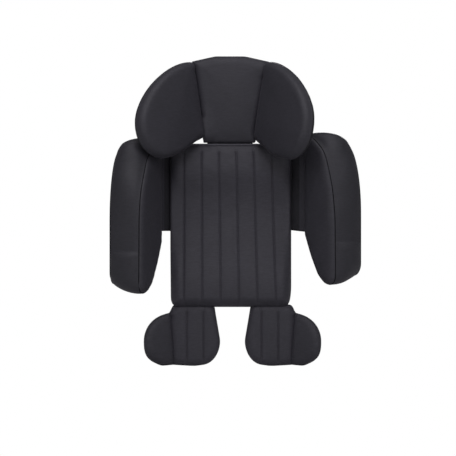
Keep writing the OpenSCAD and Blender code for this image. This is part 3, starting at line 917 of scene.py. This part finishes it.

for side, sign in SIDES.items():
    bolster = bolsters[side]
    low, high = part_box(f"bolster_flap_{side}")
    hinge = joint_point(f"bolster_{side}_fold")
    near = bolster.plane.world(np.array([[sign * (bolster.near + 4 * MM), 0, -3 * MM]]))[0]
    root = np.array([sign * (back_high.x - 8 * MM), hinge[1] + 3 * MM, 0])
    middle = hinge * 0.5 + (root + near) * 0.25
    t = np.linspace(0, 1, FLAP_COLUMNS)[None, :, None]
    z = np.linspace(low.z, high.z, 44)
    curve = (1 - t) ** 2 * root + 2 * t * (1 - t) * middle + t ** 2 * near
    rows = np.repeat(curve, len(z), axis=0)
    share = ((z - low.z) / (high.z - low.z))[:, None]
    rows[..., 2] = (z[:, None] - FLAP_DROP * share ** 4 * (1 - t[..., 0])
                    - FLAP_FOOT[side] * (1 - share) * (0.7 + 0.3 * t[..., 0]))
    sway = 1.3 * MM * ripple(rows[..., 2], t[..., 0] * 40 * MM + 0 * rows[..., 2], 60 * MM, 91 + sign)
    rows[..., 1] += sway * np.sin(math.pi * t[..., 0])
    # The cells beside the back take the dark rear cloth: painted shade in the gap beside the pad.
    flap = strip(f"bolster_flap_cloth_{side}", rows, KNIT, 1.4 * MM, REAR, FLAP_SHADE_COLUMNS)
    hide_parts(f"bolster_flap_{side}")
    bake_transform(flap)


# ---- piping, rear pocket, tongue, hook and loop

loop = back_pad.sheet.loop
shoulder_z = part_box("back_top_piping")[0].z - 24 * MM
rim = loop[loop[:, 1] > shoulder_z]
rim = rim[np.argsort(rim[:, 0])]
PIPING_OUT = np.array([0, 1.2 * MM])
piping_path = back_pad.plane.world(np.column_stack([rim + PIPING_OUT, np.full(len(rim), 8.5 * MM)]))
# The piping's light colour is a painted highlight along the top edge.
piping = tube("top_piping", piping_path, 1.9 * MM, BINDING, 12)
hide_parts("back_top_piping")
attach(piping, "back")


def flat_cloth(name, node, body, material, relief, lines=None, spacing=4 * MM):
    """A thin cloth piece in place of a flat CAD solid. relief is its front height above its rear layer."""
    wall = 0.5 * MM
    pad = Pad(name, [node], node, (0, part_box(node)[1].y - wall, 0), rounds=3, lines=lines,
              spacing=spacing, wall=wall)
    pad.make(relief, lambda p, gap, sewn, along: 0 * gap, [material] * 3, rings=2,
             bulge=round_bulge(0.2 * MM))
    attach(pad.object, body)
    return pad


POCKET_FOOT = 26 * MM
pocket_low, pocket_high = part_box("rear_pocket_panel")
tongue_low, tongue_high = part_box("pillow_tongue")
channel_half = tongue_high.x + 4 * MM
pocket_depth = pocket_high.y - pocket_low.y


def pocket_relief(p, gap, sewn, along):
    """Thin over the tongue's channel and full depth at the sewn border."""
    side_in = np.clip((np.abs(p[:, 0]) - channel_half) / (1.5 * MM), 0, 1)
    foot_in = np.clip((pocket_low.z + POCKET_FOOT - p[:, 1]) / (1.5 * MM), 0, 1)
    return 0.6 * MM + (pocket_depth - 2.2 * MM) * np.maximum(side_in, foot_in) * shoulder(gap, 4 * MM)


def pocket_lines(pad):
    vs = np.arange(pocket_low.z + 4 * MM, pocket_high.z - 3 * MM, 3 * MM)
    return [np.column_stack([np.full_like(vs, sign * channel_half), vs]) for sign in SIDES.values()]


flat_cloth("rear_pocket_cloth", "rear_pocket_panel", "back", REAR, pocket_relief,
           pocket_lines)
behind = np.array([0, 1, 0])
inset = 5 * MM
x0, x1 = pocket_low.x + inset, pocket_high.x - inset
z0, z1 = pocket_low.z + inset, pocket_high.z - inset
border = [((x0, z1), (x0, z0)), ((x0, z0), (x1, z0)), ((x1, z0), (x1, z1)),
          ((-channel_half, z1), (-channel_half, z0 + POCKET_FOOT)),
          ((-channel_half, z0 + POCKET_FOOT), (channel_half, z0 + POCKET_FOOT)),
          ((channel_half, z0 + POCKET_FOOT), (channel_half, z1))]
runs = []
for a, b in border:
    t = np.linspace(0, 1, 40)[:, None]
    xz = np.array(a) * (1 - t) + np.array(b) * t
    points = np.column_stack([xz[:, 0], np.full(len(xz), pocket_high.y - 0.2 * MM), xz[:, 1]])
    runs.append((points, np.tile(behind, (len(points), 1))))
pocket_threads = stitches("pocket_stitches", runs, THREAD)
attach(pocket_threads, "back")

# The tongue: flat in the pocket, bent forward above it and sewn flat to the pillow's rear
tongue = node_points("pillow_tongue")
tongue_t = 1.4 * MM
slid_y, sewn_y = tongue_high.y - tongue_t / 2, tongue_low.y + tongue_t / 2
bend_low = tongue[np.abs(tongue[:, 1] - tongue_high.y) < 0.1 * MM][:, 2].max()
bend_high = tongue[np.abs(tongue[:, 1] - tongue_low.y) < 0.1 * MM][:, 2].min()
xs = np.linspace(tongue_low.x, tongue_high.x, 24)
zs = np.linspace(tongue_low.z, tongue_high.z, 66)
rows = np.zeros((len(zs), len(xs), 3))
rows[..., 0], rows[..., 2] = xs, zs[:, None]
rows[..., 1] = (slid_y + (sewn_y - slid_y) * smooth((zs - bend_low) / (bend_high - bend_low)))[:, None]
tongue_cloth = strip("pillow_tongue_cloth", rows, REAR, 1.2 * MM)
across = np.linspace(tongue_low.x + inset, tongue_high.x - inset, 40)
runs = []
for z in (bend_high + inset, tongue_high.z - inset):
    points = np.column_stack([across, np.full(len(across), sewn_y + 0.6 * MM), np.full(len(across), z)])
    runs.append((points, np.tile(behind, (len(points), 1))))
tongue_threads = stitches("tongue_stitches", runs, THREAD)
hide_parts("pillow_tongue")
for piece in (tongue_cloth, tongue_threads):
    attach(piece, "pillow")


def tape_relief(p, gap, sewn, along):
    """A thin tape with a hooked or looped surface."""
    return -0.35 * MM + 0.15 * MM * ripple(p[:, 0], p[:, 1], 3 * MM, 97, 9)


flat_cloth("hook_tape", "back_hook_patch", "back", LOOP, tape_relief, spacing=1.5 * MM)
flat_cloth("loop_tape", "tongue_loop_patch", "pillow", LOOP, tape_relief,
           spacing=1.5 * MM)


# ---------------------------------------------------------------- stage

def white_to_camera(tree, shader_output, surface_input, strength=1.0):
    """Shows plain white to the camera and the given shader to every other ray."""
    path = tree.nodes.new("ShaderNodeLightPath")
    white = tree.nodes.new("ShaderNodeEmission")
    white.inputs["Color"].default_value = (1, 1, 1, 1)
    white.inputs["Strength"].default_value = strength
    mix = tree.nodes.new("ShaderNodeMixShader")
    tree.links.new(path.outputs["Is Camera Ray"], mix.inputs[0])
    tree.links.new(shader_output, mix.inputs[1])
    tree.links.new(white.outputs[0], mix.inputs[2])
    tree.links.new(mix.outputs[0], surface_input)


LIGHT_TINT = (1.0, 0.978, 1.07)


def area_light(name, place, target, size, power):
    data = bpy.data.lights.new(name, "AREA")
    data.size, data.energy, data.color = size, power, LIGHT_TINT
    obj = bpy.data.objects.new(name, data)
    obj.location = place
    obj.rotation_mode = "QUATERNION"
    obj.rotation_quaternion = (Vector(target) - Vector(place)).to_track_quat("-Z", "Y")
    bpy.context.scene.collection.objects.link(obj)
    return obj


low, high = CAD_BOUNDS
FLOOR_HALF = 30
floor_z = low.z - 2 * MM
floor_mesh = bpy.data.meshes.new("floor")
floor_mesh.from_pydata([(-FLOOR_HALF, -FLOOR_HALF, floor_z), (FLOOR_HALF, -FLOOR_HALF, floor_z),
                        (FLOOR_HALF, FLOOR_HALF, floor_z), (-FLOOR_HALF, FLOOR_HALF, floor_z)],
                       [], [(0, 1, 2, 3)])
floor = bpy.data.objects.new("floor", floor_mesh)
bpy.context.scene.collection.objects.link(floor)
paint, paint_tree, paint_shader = node_tree("floor_paint")
paint_shader.inputs["Base Color"].default_value = (0.6, 0.6, 0.6, 1)
paint_shader.inputs["Roughness"].default_value = 0.9
white_to_camera(paint_tree, paint_shader.outputs[0], paint_tree.nodes["Material Output"].inputs["Surface"])
floor_mesh.materials.append(paint)

WORLD_BASE = 0.10              # ambient light from all round
WORLD_FRONT = 0.55             # added where it comes from in front and above
WORLD_FROM = (0, -0.78, 0.62)
world = bpy.data.worlds.new("studio")
bpy.context.scene.world = world
world.use_nodes = True
world_tree = world.node_tree
sky = world_tree.nodes["Background"]
sky.inputs[0].default_value = (1, 1, 1, 1)
towards = world_tree.nodes.new("ShaderNodeTexCoord")
front = world_tree.nodes.new("ShaderNodeVectorMath")
front.operation = "DOT_PRODUCT"
front.inputs[1].default_value = WORLD_FROM
world_tree.links.new(towards.outputs["Generated"], front.inputs[0])
share = math_node(world_tree, "MAXIMUM", front.outputs["Value"], 0.0)
strength = math_node(world_tree, "ADD", math_node(world_tree, "MULTIPLY", share, WORLD_FRONT), WORLD_BASE)
world_tree.links.new(strength, sky.inputs[1])
white_to_camera(world_tree, sky.outputs[0], world_tree.nodes["World Output"].inputs["Surface"])

centre = Vector((0, 0, (low.z + high.z) / 2))
area_light("key", (-0.1, -2.4, 1.7), centre, 1.5, 30)
area_light("left_fill", (-2.2, -1.6, 0.6), centre, 1.4, 3)
area_light("right_fill", (1.7, -2.0, -0.1), centre, 1.4, 7)
area_light("top", (0.0, -0.7, 2.2), centre, 1.0, 12)
area_light("rear", (0.5, 2.6, 0.9), centre, 1.2, 36)

# The frame shows 912 mm at the pads' front, seen square on from about the middle of the back
VIEW_DISTANCE = 3.0
VIEW_WIDTH = 0.912
camera = bpy.data.objects.new("camera", bpy.data.cameras.new("camera"))
bpy.context.scene.collection.objects.link(camera)
camera.location = (-0.004, -VIEW_DISTANCE - 0.036, -0.064)
camera.rotation_euler = (math.pi / 2, 0, 0)
camera.data.sensor_width = 36
camera.data.lens = 36 * VIEW_DISTANCE / VIEW_WIDTH
bpy.context.scene.camera = camera
bpy.context.scene.view_settings.view_transform = "Standard"
